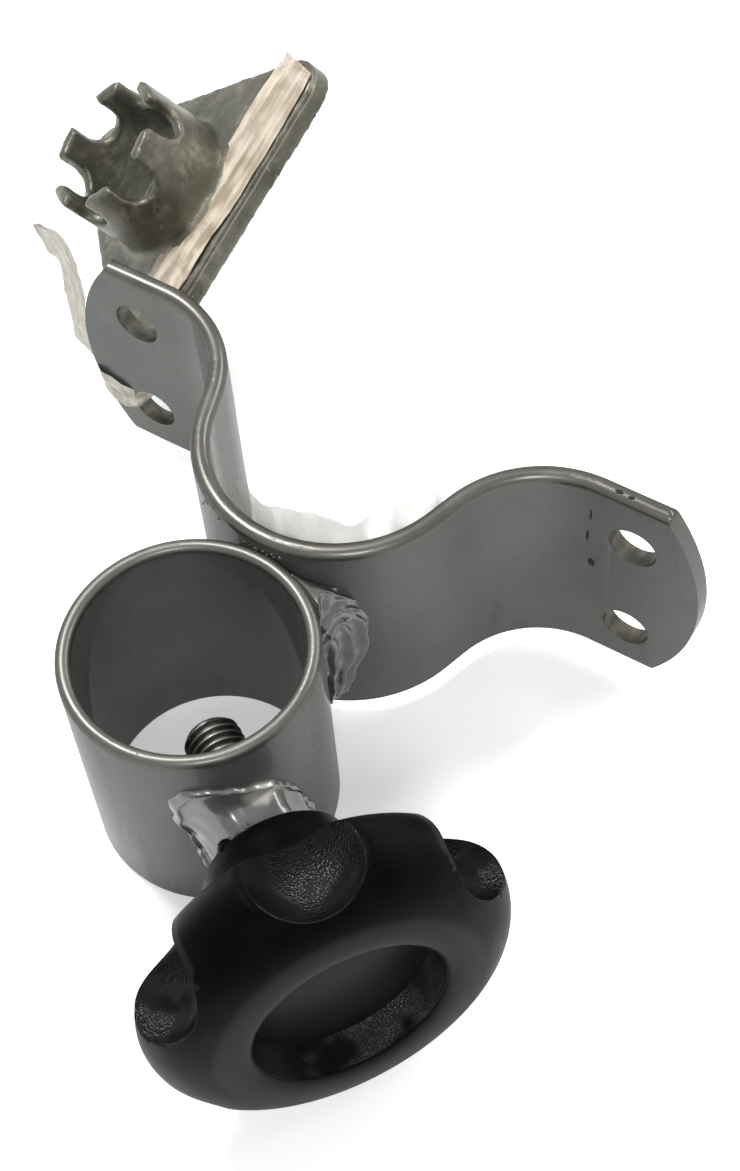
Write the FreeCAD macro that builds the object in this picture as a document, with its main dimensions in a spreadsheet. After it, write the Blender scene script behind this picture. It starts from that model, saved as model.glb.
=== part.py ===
import FreeCAD, Part
import math
import os
import Sketcher

# Clamp-on rod holder. It is drawn about the collar axis (Z up, bottom rim at zero, Y toward the
# rail saddle) and exported about the saddle: origin on the rail axis, half way up the strap.
os.makedirs("parts", exist_ok=True)
V = FreeCAD.Vector
doc = FreeCAD.newDocument("rod_holder")
sheet = doc.addObject("Spreadsheet::Sheet", "Sizes")

# Sizes in millimetres and degrees. The collar is a 2 inch tube for the rod butt, the strap's
# saddle fits a 2 inch rail, and the knob's sizes run outward along the screw's axis.
SIZES = {
    "collar_od": 50.8,
    "collar_wall": 3.0,
    "collar_height": 58.0,
    "strap_t": 4.0,
    "strap_width": 56.5,
    "strap_z": 4.7,
    "rail_r": 25.9,
    "saddle_half_deg": 73.0,
    "saddle_leg": 5.4,
    "bend_in_r": 22.5,
    "wing_corner_x": 65.7,
    "wing_bulge": 9.4,
    "hole_r": 5.25,
    "hole_x": 59.7,
    "hole_z_mid": 32.0,
    "hole_z_gap": 29.5,
    "weld_right_x": 11.6,
    "weld_right_foot_r": 3.0,
    "weld_right_top_r": 5.4,
    "weld_right_low": 7.0,
    "weld_right_tall": 46.0,
    "weld_left_x": 9.6,
    "weld_left_foot_r": 2.8,
    "weld_left_top_r": 3.6,
    "weld_left_low": 8.0,
    "weld_left_tall": 40.0,
    "screw_az_deg": -34.1,
    "screw_rise_deg": 6.1,
    "screw_z": 28.0,
    "screw_r": 6.0,
    "screw_tip": 2.2,
    "tip_chamfer": 1.0,
    "thread_play": 0.1,
    "nut_af": 18.0,
    "nut_sink": 5.4,
    "nut_stand": 8.0,
    "nut_bead_foot_r": 14.6,
    "nut_bead_top_r": 10.9,
    "hub_clear": 1.7,
    "hub_r": 14.7,
    "hub_length": 15.3,
    "head_depth": 22.1,
    "head_r": 36.8,
    "recess_r": 19.2,
    "recess_depth": 8.0,
    "cap_t": 2.6,
    "cap_play": 0.05,
    "bolt_head_af": 19.0,
    "bolt_head_t": 7.5,
    "lobes": 6,
    "scallop_r": 11.0,
    "scallop_out": 1.0,
    "scallop_short": 1.0,
    "plate_in_r": 26.5,
    "plate_corner_r": 7.7,
    "plate_t": 6.0,
    "plate_turn_deg": 14.7,
    "crown_or": 16.8,
    "crown_wall": 3.0,
    "crown_height": 22.7,
    "crown_foot_r": 2.6,
    "notches": 6,
    "notch_floor": 13.5,
    "notch_w": 8.4,
    "cast_outboard": 23.2,
    "cast_behind": 42.256,
    "cast_above": 1.1,
    "cast_tilt_az_deg": -145.4,
    "cast_tilt_el_deg": 50.1,
    "cast_spin_deg": 24.0,
}

# Sizes that follow from those above.
FOLLOWS = {
    "collar_or": "=collar_od / 2",
    "collar_ir": "=collar_od / 2 - collar_wall",
    "rim_round": "=collar_wall / 2 - 0.08",
    "strap_round": "=strap_t / 2 - 0.1",
    "saddle_mid_r": "=rail_r + strap_t / 2",
    "bend_mid_r": "=bend_in_r + strap_t / 2",
    "saddle_y": "=collar_od / 2 + strap_t + rail_r",
    "nut_start": "=collar_od / 2 - nut_sink",
    "nut_end": "=collar_od / 2 + nut_stand",
    "hub_back": "=collar_od / 2 + nut_stand + hub_clear",
    "head_back": "=collar_od / 2 + nut_stand + hub_clear + hub_length",
    "knob_face": "=collar_od / 2 + nut_stand + hub_clear + hub_length + head_depth",
    "scallop_at": "=head_r + scallop_out",
    "scallop_end": "=knob_face - scallop_short",
    "cast_x": "=-hole_x - cast_outboard",
    "wing_mid": "=saddle_y - saddle_mid_r * cos(saddle_half_deg) + saddle_leg * sin(saddle_half_deg)"
                " + bend_mid_r * (1 - cos(saddle_half_deg))",
    "cast_y": "=wing_mid + strap_t / 2 + cast_behind",
    "cast_z": "=hole_z_mid + cast_above",
}
for row, (alias, value) in enumerate([*SIZES.items(), *FOLLOWS.items()], 1):
    sheet.set("A%d" % row, alias)
    sheet.set("B%d" % row, str(value))
    sheet.setAlias("B%d" % row, alias)
doc.recompute()


def val(alias):
    return float(sheet.get(alias))


def bind(obj, prop, alias):
    obj.setExpression(prop, "Sizes." + alias)


def body(label):
    b = doc.addObject("PartDesign::Body", label)
    b.Label = label
    return b


def origin_item(b, role):
    for item in b.Origin.OriginFeatures:
        if item.Role == role:
            return item
    raise ValueError(role)


def sketch(b, name, plane="XY_Plane", lift=0.0):
    s = b.newObject("Sketcher::SketchObject", name)
    s.AttachmentSupport = [(origin_item(b, plane), "")]
    s.MapMode = "FlatFace"
    s.AttachmentOffset = FreeCAD.Placement(V(0, 0, lift), FreeCAD.Rotation())
    return s


def circle(s, r_alias, x=0.0, y=0.0):
    g = s.addGeometry(Part.Circle(V(x, y, 0), V(0, 0, 1), val(r_alias)), False)
    if abs(x) < 1e-9 and abs(y) < 1e-9:
        s.addConstraint(Sketcher.Constraint("Coincident", g, 3, -1, 1))
    c = s.addConstraint(Sketcher.Constraint("Radius", g, val(r_alias)))
    s.setExpression("Constraints[%d]" % c, "Sizes." + r_alias)
    return g


def loop(s, pts):
    n = len(pts)
    for i in range(n):
        s.addGeometry(Part.LineSegment(V(*pts[i], 0), V(*pts[(i + 1) % n], 0)), False)
    for i in range(n):
        s.addConstraint(Sketcher.Constraint("Coincident", i, 2, (i + 1) % n, 1))


def pad(b, s, name, alias):
    p = b.newObject("PartDesign::Pad", name)
    p.Profile = s
    bind(p, "Length", alias)
    s.Visibility = False
    return p


def tool(kind, name, at=None, rot=None):
    t = doc.addObject(kind, name)
    t.Placement = FreeCAD.Placement(at or V(), rot or FreeCAD.Rotation())
    return t


def cut(label, base, tools):
    out = base
    for i, t in enumerate(tools):
        c = doc.addObject("Part::Cut", label if i == len(tools) - 1 else label + "_cut%d" % i)
        c.Base = out
        c.Tool = t
        out = c
    out.Label = label
    return out


def along_screw(d):
    az = math.radians(val("screw_az_deg"))
    el = math.radians(val("screw_rise_deg"))
    n = V(math.cos(az) * math.cos(el), math.sin(az) * math.cos(el), math.sin(el))
    return V(0, 0, val("screw_z")) + n * d


SCREW_ROT = FreeCAD.Rotation(val("screw_az_deg"), 90.0 - val("screw_rise_deg"), 0.0)
FLAT_UP = FreeCAD.Rotation(V(0, 0, 1), 30.0)

# Collar tube with bullnosed rims and the screw's clearance hole.
collar = body("collar_stock")
ring = sketch(collar, "collar_ring")
circle(ring, "collar_or")
circle(ring, "collar_ir")
tube = pad(collar, ring, "collar_pad", "collar_height")
doc.recompute()
rims = ["Edge%d" % (i + 1) for i, e in enumerate(tube.Shape.Edges) if len(e.Vertexes) == 1]
rim = collar.newObject("PartDesign::Fillet", "collar_rims")
rim.Base = (tube, rims)
bind(rim, "Radius", "rim_round")
wall_drill = tool("Part::Cylinder", "wall_drill", along_screw(10.0), SCREW_ROT)
wall_drill.setExpression("Radius", "Sizes.screw_r + Sizes.thread_play")
wall_drill.Height = val("collar_od")
collar_tube = cut("collar_tube", collar, [wall_drill])


# Strap: plan of the omega swept up to its width, long edges bullnosed, ends rounded, holes cut.
def strap_side(offset):
    r = val("saddle_mid_r") + offset
    rb = val("bend_mid_r") - offset
    h = math.radians(val("saddle_half_deg"))
    cy = val("saddle_y")
    mid = V(val("saddle_mid_r") * math.sin(h), cy - val("saddle_mid_r") * math.cos(h), 0)
    run = V(math.cos(h), math.sin(h), 0)
    turn = V(math.sin(h), -math.cos(h), 0)
    c = mid + run * val("saddle_leg") + turn * val("bend_mid_r")
    a0 = V(0, cy - r, 0)
    am = V(r * math.sin(h / 2), cy - r * math.cos(h / 2), 0)
    a1 = V(r * math.sin(h), cy - r * math.cos(h), 0)
    a2 = c - turn * rb
    am2 = c + V(math.cos(math.pi / 2 + h / 2), math.sin(math.pi / 2 + h / 2), 0) * rb
    a3 = c + V(0, rb, 0)
    a4 = V(val("wing_corner_x") + val("wing_bulge") + 1.0, a3.y, 0)
    return a0, am, a1, a2, am2, a3, a4


strap = body("strap_stock")
plan = sketch(strap, "strap_plan", "XY_Plane", val("strap_z"))
inner = strap_side(-val("strap_t") / 2)
outer = strap_side(val("strap_t") / 2)


def mirror(p):
    return V(-p.x, p.y, 0)


for side in (inner, outer):
    a0, am, a1, a2, am2, a3, a4 = side
    plan.addGeometry(Part.Arc(mirror(a1), a0, a1), False)
    for f in (lambda p: p, mirror):
        plan.addGeometry(Part.LineSegment(f(a1), f(a2)), False)
        plan.addGeometry(Part.Arc(f(a2), f(am2), f(a3)), False)
        plan.addGeometry(Part.LineSegment(f(a3), f(a4)), False)
for f in (lambda p: p, mirror):
    plan.addGeometry(Part.LineSegment(f(inner[6]), f(outer[6])), False)
omega = pad(strap, plan, "strap_pad", "strap_width")
doc.recompute()
z0 = val("strap_z")
z1 = z0 + val("strap_width")
end_x = inner[6].x
long_edges = []
for i, e in enumerate(omega.Shape.Edges):
    bb = e.BoundBox
    flat = bb.ZLength < 1e-6 and (abs(bb.ZMin - z0) < 1e-6 or abs(bb.ZMin - z1) < 1e-6)
    at_end = abs(bb.XMin) > end_x - 1e-6 and abs(bb.XMax) > end_x - 1e-6 and bb.XLength < 1e-6
    if flat and not at_end:
        long_edges.append("Edge%d" % (i + 1))
nose = strap.newObject("PartDesign::Fillet", "strap_edges")
nose.Base = (omega, long_edges)
bind(nose, "Radius", "strap_round")
doc.recompute()
holes = sketch(strap, "strap_holes", "XZ_Plane")
for sx in (-1, 1):
    for sz in (-0.5, 0.5):
        g = circle(holes, "hole_r", sx * val("hole_x"), val("hole_z_mid") + sz * val("hole_z_gap"))
        c = holes.addConstraint(Sketcher.Constraint("DistanceX", -1, 1, g, 3, sx * val("hole_x")))
        holes.setExpression("Constraints[%d]" % c, "%d * Sizes.hole_x" % sx)
        c = holes.addConstraint(Sketcher.Constraint("DistanceY", -1, 1, g, 3,
                                                    val("hole_z_mid") + sz * val("hole_z_gap")))
        holes.setExpression("Constraints[%d]" % c, "Sizes.hole_z_mid + %g * Sizes.hole_z_gap" % sz)
drill = strap.newObject("PartDesign::Pocket", "strap_drill")
drill.Profile = holes
drill.Type = 1
drill.Midplane = True
holes.Visibility = False
blank = body("strap_outline")
face = sketch(blank, "outline_face", "XZ_Plane")
cx = val("wing_corner_x")
tip = cx + val("wing_bulge")
zm = (z0 + z1) / 2
face.addGeometry(Part.LineSegment(V(-cx, z0, 0), V(cx, z0, 0)), False)
face.addGeometry(Part.Arc(V(cx, z0, 0), V(tip, zm, 0), V(cx, z1, 0)), False)
face.addGeometry(Part.LineSegment(V(cx, z1, 0), V(-cx, z1, 0)), False)
face.addGeometry(Part.Arc(V(-cx, z1, 0), V(-tip, zm, 0), V(-cx, z0, 0)), False)
slab = blank.newObject("PartDesign::Pad", "outline_pad")
slab.Profile = face
slab.Length = 4 * val("saddle_y")
slab.Midplane = True
saddle_strap = doc.addObject("Part::Common", "saddle_strap")
saddle_strap.Base = strap
saddle_strap.Tool = blank
saddle_strap.Label = "saddle_strap"

# Weld beads filling the two grooves between collar and saddle.
for side, sx in (("right", 1), ("left", -1)):
    name = "collar_weld_" + side
    key = "weld_" + side
    bead = tool("Part::Cone", name + "_bead", V(sx * val(key + "_x"), val("collar_or"), val(key + "_low")))
    bind(bead, "Radius1", key + "_foot_r")
    bind(bead, "Radius2", key + "_top_r")
    bind(bead, "Height", key + "_tall")
    inside = tool("Part::Cylinder", name + "_collar")
    bind(inside, "Radius", "collar_or")
    bind(inside, "Height", "collar_height")
    beyond = tool("Part::Cylinder", name + "_saddle", V(0, val("saddle_y"), 0))
    beyond.setExpression("Radius", "Sizes.rail_r + Sizes.strap_t")
    beyond.Height = 2 * val("collar_height")
    cut(name, bead, [inside, beyond])


# Clamp nut seated on the collar wall, with its weld around it.
def hexagon(name, af_alias, start, height):
    p = tool("Part::Prism", name, along_screw(start), SCREW_ROT.multiply(FLAT_UP))
    p.Polygon = 6
    p.setExpression("Circumradius", "Sizes.%s / sqrt(3)" % af_alias)
    p.Height = height
    return p


def screw_rod(name, start, height, play="thread_play"):
    c = tool("Part::Cylinder", name, along_screw(start), SCREW_ROT)
    c.setExpression("Radius", "Sizes.screw_r + Sizes.%s" % play)
    c.Height = height
    return c


def collar_plug(name):
    c = tool("Part::Cylinder", name, V(0, 0, -10))
    bind(c, "Radius", "collar_or")
    c.Height = 90
    return c


nut_start = val("nut_start")
nut_len = val("nut_end") - nut_start
nut = hexagon("nut_stock", "nut_af", nut_start, nut_len)
clamp_nut = cut("clamp_nut", nut, [collar_plug("nut_seat"), screw_rod("nut_thread", 10.0, 40.0)])
puddle = tool("Part::Cone", "nut_bead", along_screw(nut_start), SCREW_ROT)
puddle.setExpression("Radius1", "Sizes.nut_bead_foot_r")
puddle.setExpression("Radius2", "Sizes.nut_bead_top_r")
puddle.Height = nut_len - 3.0
nut_weld = cut("nut_weld", puddle, [collar_plug("weld_seat"), hexagon("nut_core", "nut_af", 15.0, 40.0)])

# Knob: hub, lobed head, recess for the cap and a seat for the screw's hexagon.
knob = body("knob_head")
half = sketch(knob, "knob_half", "XZ_Plane")
bore_r = val("screw_r") + 0.05
f = val("knob_face")
hb = val("head_back")
R = val("head_r")
rec_z = f - val("recess_depth")
seat_z = rec_z - val("cap_t") - 0.02
pocket_z = seat_z - val("bolt_head_t") - 0.3
hub = val("hub_r")
rr = val("recess_r")
outline = [
    (bore_r, val("hub_back")),
    (hub - 0.8, val("hub_back")),
    (hub, val("hub_back") + 0.8),
    (hub + 0.6, hb - 1.5),
    (hub + 2.0, hb - 0.2),
    (R - 11.0, hb),
    (R - 6.0, hb + 1.0),
    (R - 2.5, hb + 3.5),
    (R - 0.5, hb + 7.0),
    (R, hb + 10.0),
    (R - 0.4, f - 9.5),
    (R - 1.7, f - 6.5),
    (R - 4.0, f - 3.7),
    (R - 7.5, f - 1.5),
    (R - 11.5, f - 0.3),
    (R - 14.5, f),
    (rr + 1.0, f - 0.25),
    (rr, f - 1.0),
    (rr, seat_z),
    (val("bolt_head_af") / math.sqrt(3) + 0.4, seat_z),
    (val("bolt_head_af") / math.sqrt(3) + 0.4, pocket_z),
    (bore_r, pocket_z),
]
rim_curve = Part.BSplineCurve()
rim_curve.interpolate([V(r, z, 0) for r, z in outline[5:15]])
half.addGeometry(rim_curve, False)
flats = outline[14:] + outline[:6]
for (r0, h0), (r1, h1) in zip(flats, flats[1:]):
    half.addGeometry(Part.LineSegment(V(r0, h0, 0), V(r1, h1, 0)), False)
lathe = knob.newObject("PartDesign::Revolution", "knob_lathe")
lathe.Profile = half
lathe.ReferenceAxis = (origin_item(knob, "Z_Axis"), [""])
lathe.Angle = 360
half.Visibility = False
doc.recompute()
grip = sketch(knob, "scallop_half", "XZ_Plane")
sr = val("scallop_r")
sx = val("scallop_at")
se = val("scallop_end")
zb = hb - 6.0
zs = se - sr
grip.addGeometry(Part.LineSegment(V(-sx, zb, 0), V(-sx + sr, zb, 0)), False)
grip.addGeometry(Part.LineSegment(V(-sx + sr, zb, 0), V(-sx + sr, zs, 0)), False)
c45 = math.sqrt(0.5)
grip.addGeometry(Part.Arc(V(-sx + sr, zs, 0), V(-sx + sr * c45, zs + sr * c45, 0), V(-sx, se, 0)), False)
grip.addGeometry(Part.LineSegment(V(-sx, se, 0), V(-sx, zb, 0)), False)
for i in range(4):
    grip.addConstraint(Sketcher.Constraint("Coincident", i, 2, (i + 1) % 4, 1))
scoop = knob.newObject("PartDesign::Groove", "scallop")
scoop.Profile = grip
scoop.ReferenceAxis = (grip, ["Edge4"])
scoop.Angle = 360
grip.Visibility = False
around = knob.newObject("PartDesign::PolarPattern", "scallops")
around.Originals = [scoop]
around.Axis = (origin_item(knob, "Z_Axis"), [""])
around.Angle = 360
around.setExpression("Occurrences", "Sizes.lobes")
knob.Tip = around
doc.recompute()
knob.Placement = FreeCAD.Placement(V(0, 0, val("screw_z")), SCREW_ROT)

# Cap: the plain disc that closes the recess floor.
cap = tool("Part::Cylinder", "cap_disc", along_screw(rec_z - val("cap_t")), SCREW_ROT)
cap.setExpression("Radius", "Sizes.recess_r - Sizes.cap_play")
bind(cap, "Height", "cap_t")
doc.recompute()
knob_cap = doc.addObject("Part::Chamfer", "knob_cap")
knob_cap.Base = cap
edge_ids = [i + 1 for i, e in enumerate(cap.Shape.Edges) if len(e.Vertexes) == 1]
knob_cap.Edges = [(i, 0.4, 0.4) for i in edge_ids]
knob_cap.Label = "knob_cap"

# Screw: plain-shank stand for the thread, chamfered tip, hexagon captured in the knob.
stud = body("clamp_screw")
shank = sketch(stud, "screw_round", "XY_Plane", val("screw_tip"))
circle(shank, "screw_r")
rod = stud.newObject("PartDesign::Pad", "screw_pad")
rod.Profile = shank
rod.Length = pocket_z - val("screw_tip")
shank.Visibility = False
doc.recompute()
lead = stud.newObject("PartDesign::Chamfer", "screw_lead")
tips = [i for i, e in enumerate(rod.Shape.Edges)
        if len(e.Vertexes) == 1 and abs(e.BoundBox.ZMax - val("screw_tip")) < 1e-6]
lead.Base = (rod, ["Edge%d" % (tips[0] + 1)])
bind(lead, "Size", "tip_chamfer")
hexa = sketch(stud, "hex_outline", "XY_Plane", pocket_z)
hr = val("bolt_head_af") / math.sqrt(3)
loop(hexa, [(hr * math.cos(math.radians(60 * i)), hr * math.sin(math.radians(60 * i))) for i in range(6)])
head = pad(stud, hexa, "hex_pad", "bolt_head_t")
doc.recompute()
stud.Placement = FreeCAD.Placement(V(0, 0, val("screw_z")), SCREW_ROT)

# Cast socket: plate under a crown with six square-mouthed, round-bottomed notches.
cast = body("cast_socket")
tri = sketch(cast, "plate_outline", "XY_Plane", -val("plate_t"))
rc = val("plate_corner_r")
far = 2.0 * (val("plate_in_r") - rc)


def unit(deg):
    return V(math.cos(math.radians(deg)), math.sin(math.radians(deg)), 0)


for i in range(3):
    edge_deg = val("plate_turn_deg") + 120.0 * i
    corner_deg = edge_deg + 60.0
    c0 = unit(edge_deg - 60.0) * far
    c1 = unit(corner_deg) * far
    nrm = unit(edge_deg)
    tri.addGeometry(Part.LineSegment(c0 + nrm * rc, c1 + nrm * rc), False)
    tri.addGeometry(Part.Arc(c1 + nrm * rc, c1 + unit(corner_deg) * rc, c1 + unit(edge_deg + 120.0) * rc), False)
plate = pad(cast, tri, "plate_pad", "plate_t")
doc.recompute()
stem = sketch(cast, "crown_outline", "XY_Plane")
circle(stem, "crown_or")
crown = pad(cast, stem, "crown_pad", "crown_height")
doc.recompute()
foot = [i for i, e in enumerate(crown.Shape.Edges)
        if len(e.Vertexes) == 1 and abs(e.BoundBox.ZMax) < 1e-6 and abs(e.BoundBox.ZMin) < 1e-6]
flare = cast.newObject("PartDesign::Fillet", "crown_foot")
flare.Base = (crown, ["Edge%d" % (foot[0] + 1)])
bind(flare, "Radius", "crown_foot_r")
doc.recompute()
bore = sketch(cast, "crown_bore_outline", "XY_Plane", val("crown_height"))
g = bore.addGeometry(Part.Circle(V(), V(0, 0, 1), val("crown_or") - val("crown_wall")), False)
bore.addConstraint(Sketcher.Constraint("Coincident", g, 3, -1, 1))
c = bore.addConstraint(Sketcher.Constraint("Radius", g, val("crown_or") - val("crown_wall")))
bore.setExpression("Constraints[%d]" % c, "Sizes.crown_or - Sizes.crown_wall")
through = cast.newObject("PartDesign::Pocket", "crown_bore")
through.Profile = bore
through.Length = val("crown_height") + val("plate_t") + 1.0
doc.recompute()
slot = sketch(cast, "notch_outline", "YZ_Plane")
w = val("notch_w") / 2
nz = val("notch_floor") + w
top = val("crown_height") + 2.0
slot.addGeometry(Part.LineSegment(V(w, nz, 0), V(w, top, 0)), False)
slot.addGeometry(Part.LineSegment(V(w, top, 0), V(-w, top, 0)), False)
slot.addGeometry(Part.LineSegment(V(-w, top, 0), V(-w, nz, 0)), False)
slot.addGeometry(Part.Arc(V(-w, nz, 0), V(0, nz - w, 0), V(w, nz, 0)), False)
notch = cast.newObject("PartDesign::Pocket", "notch")
notch.Profile = slot
notch.Length = 2 * val("crown_or")
notch.Reversed = True
doc.recompute()
ring_of = cast.newObject("PartDesign::PolarPattern", "notches_round")
ring_of.Originals = [notch]
ring_of.Axis = (origin_item(cast, "Z_Axis"), [""])
ring_of.Angle = 360
ring_of.setExpression("Occurrences", "Sizes.notches")
cast.Tip = ring_of
doc.recompute()
cast_az = math.radians(val("cast_tilt_az_deg"))
cast_el = math.radians(val("cast_tilt_el_deg"))
up = V(math.cos(cast_az) * math.cos(cast_el), math.sin(cast_az) * math.cos(cast_el), math.sin(cast_el))
level = V(-math.sin(cast_az), math.cos(cast_az), 0)
climb = up.cross(level)
spin = math.radians(val("cast_spin_deg"))
first = level * math.cos(spin) + climb * math.sin(spin)
cast.Placement = FreeCAD.Placement(V(val("cast_x"), val("cast_y"), val("cast_z")),
                                   FreeCAD.Rotation(first, V(), up, "ZXY"))
doc.recompute()

about_rail = V(0, -val("saddle_y"), -(val("strap_z") + val("strap_width") / 2))
parts = [collar_tube, saddle_strap, clamp_nut, nut_weld, knob, knob_cap, stud, cast]
parts += [doc.getObjectsByLabel(name)[0] for name in ("collar_weld_right", "collar_weld_left")]
for obj in doc.Objects:
    bad = [word for word in obj.State if word in ("Invalid", "Error")]
    if bad:
        raise RuntimeError("%s failed: %s" % (obj.Label, bad))
for obj in parts:
    shape = obj.Shape
    if shape.isNull() or not shape.isValid() or shape.Volume <= 0:
        raise RuntimeError("bad shape: " + obj.Label)
    shape = shape.copy()
    shape.translate(about_rail)
    shape.exportStep("parts/" + obj.Label + ".step")
    box = shape.BoundBox
    print(obj.Label, "volume %.0f" % shape.Volume, "solids", len(shape.Solids),
          "x %.1f %.1f y %.1f %.1f z %.1f %.1f" % (box.XMin, box.XMax, box.YMin, box.YMax, box.ZMin, box.ZMax))
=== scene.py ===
import bmesh
import bpy
import math
from mathutils import Matrix, Vector, noise


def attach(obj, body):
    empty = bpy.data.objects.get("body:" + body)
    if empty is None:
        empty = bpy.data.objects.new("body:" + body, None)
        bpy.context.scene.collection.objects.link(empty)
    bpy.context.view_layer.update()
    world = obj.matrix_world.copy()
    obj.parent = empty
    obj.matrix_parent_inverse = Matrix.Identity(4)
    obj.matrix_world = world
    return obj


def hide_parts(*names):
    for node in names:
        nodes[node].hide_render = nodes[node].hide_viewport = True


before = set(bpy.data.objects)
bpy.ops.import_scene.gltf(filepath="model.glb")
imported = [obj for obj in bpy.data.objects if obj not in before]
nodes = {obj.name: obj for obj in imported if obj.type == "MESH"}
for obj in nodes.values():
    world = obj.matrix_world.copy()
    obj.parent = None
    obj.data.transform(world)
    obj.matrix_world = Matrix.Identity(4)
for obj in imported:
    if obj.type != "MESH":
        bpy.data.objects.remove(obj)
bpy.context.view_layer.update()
scene = bpy.context.scene

# Lengths are in millimetres in the rail frame, and go to metres where a mesh is made.
MM = 0.001
COLLAR_Y = -55.3
COLLAR_FOOT = -32.95
COLLAR_TOP = 25.05
COLLAR_R = 25.4
SADDLE_R = 29.9
STRAP_TOP = 28.25
WING_FRONT = 12.344
HOLE_X = 59.7
HOLE_R = 5.25
HOLES = tuple((x, z, HOLE_R) for x in (-HOLE_X, HOLE_X) for z in (13.8, -15.7))
SCREW_AZ = math.radians(-34.1)
SCREW_RISE = math.radians(6.1)
SCREW_ORIGIN = Vector((0.0, COLLAR_Y, -4.95))
SCREW_OUT = Vector((math.cos(SCREW_AZ) * math.cos(SCREW_RISE),
                    math.sin(SCREW_AZ) * math.cos(SCREW_RISE), math.sin(SCREW_RISE)))
SCREW_SIDE = Vector((-math.sin(SCREW_AZ), math.cos(SCREW_AZ), 0.0))
SCREW_UP = SCREW_OUT.cross(SCREW_SIDE)

# Places out along the screw, and radii about it.
SCREW_TIP = 2.2
TIP_R = 4.75
THREAD_END = 44.0
PITCH = 1.75
CREST_R = 5.97
ROOT_R = 5.0
HEAD_FLAT = 9.5
NUT_FLAT = 9.5
NUT_CORNER = 10.35
NUT_TOP = 31.6
KNOB_BACK = 50.4
KNOB_FACE = 72.5
RECESS_R = 19.2
HOLLOWS = 6
HOLLOW_R = 11.0
HOLLOW_AT = 37.8
HOLLOW_END = 60.5
NIB_AT = 13.3
NIB_ANGLE = math.radians(128)

CAST_AZ = math.radians(-145.4)
CAST_RISE = math.radians(50.1)
CAST_ORIGIN = Vector((-82.9, 58.6, 0.15))
CAST_OUT = Vector((math.cos(CAST_AZ) * math.cos(CAST_RISE),
                   math.sin(CAST_AZ) * math.cos(CAST_RISE), math.sin(CAST_RISE)))
CAST_LEVEL = Vector((-math.sin(CAST_AZ), math.cos(CAST_AZ), 0.0))
CAST_CLIMB = CAST_OUT.cross(CAST_LEVEL)

# The casting's remesh and the photo's height in pixels.
VOXEL = 0.55
SMOOTHINGS = 9
PHOTO_HIGH = 1171.0

# Sockets that are picked by their place on a node.
OBJECT_COORDS = 3
UV_COORDS = 2
SCALE_IN = 3
VALUE_OUT = 1
MIX_FACTOR = 0
MIX_A = 6
MIX_B = 7
MIX_OUT = 2


class Val:
    """A shader socket that takes part in ordinary arithmetic."""

    def __init__(self, tree, socket):
        self.tree = tree
        self.socket = socket

    def math(self, op, *others):
        n = self.tree.nodes.new("ShaderNodeMath")
        n.operation = op
        for slot, item in zip(n.inputs, (self,) + others):
            join(self.tree, item, slot)
        return Val(self.tree, n.outputs[0])

    def __add__(self, other):
        return self.math("ADD", other)

    __radd__ = __add__

    def __sub__(self, other):
        return self.math("SUBTRACT", other)

    def __rsub__(self, other):
        return (self * -1.0) + other

    def __mul__(self, other):
        return self.math("MULTIPLY", other)

    def __truediv__(self, other):
        return self.math("DIVIDE", other)

    def top(self, other):
        return self.math("MAXIMUM", other)

    def absolute(self):
        return self.math("ABSOLUTE")

    def root(self):
        return self.math("SQRT")

    def step(self, a, b, lo=0.0, hi=1.0):
        n = self.tree.nodes.new("ShaderNodeMapRange")
        n.interpolation_type = "SMOOTHSTEP"
        for slot, item in zip(n.inputs, (self, a, b, lo, hi)):
            join(self.tree, item, slot)
        return Val(self.tree, n.outputs[0])


def join(tree, item, slot):
    if isinstance(item, Val):
        tree.links.new(item.socket, slot)
    elif isinstance(item, (tuple, list)) and len(slot.default_value) == 4 and len(item) == 3:
        slot.default_value = (*item, 1.0)
    else:
        slot.default_value = item


def node(tree, kind, pick=0, **inputs):
    """Any node, with a value or a link for each named socket."""
    n = tree.nodes.new(kind)
    for key, item in inputs.items():
        join(tree, item, n.inputs[key.replace("_", " ")])
    return Val(tree, n.outputs[pick])


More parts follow.
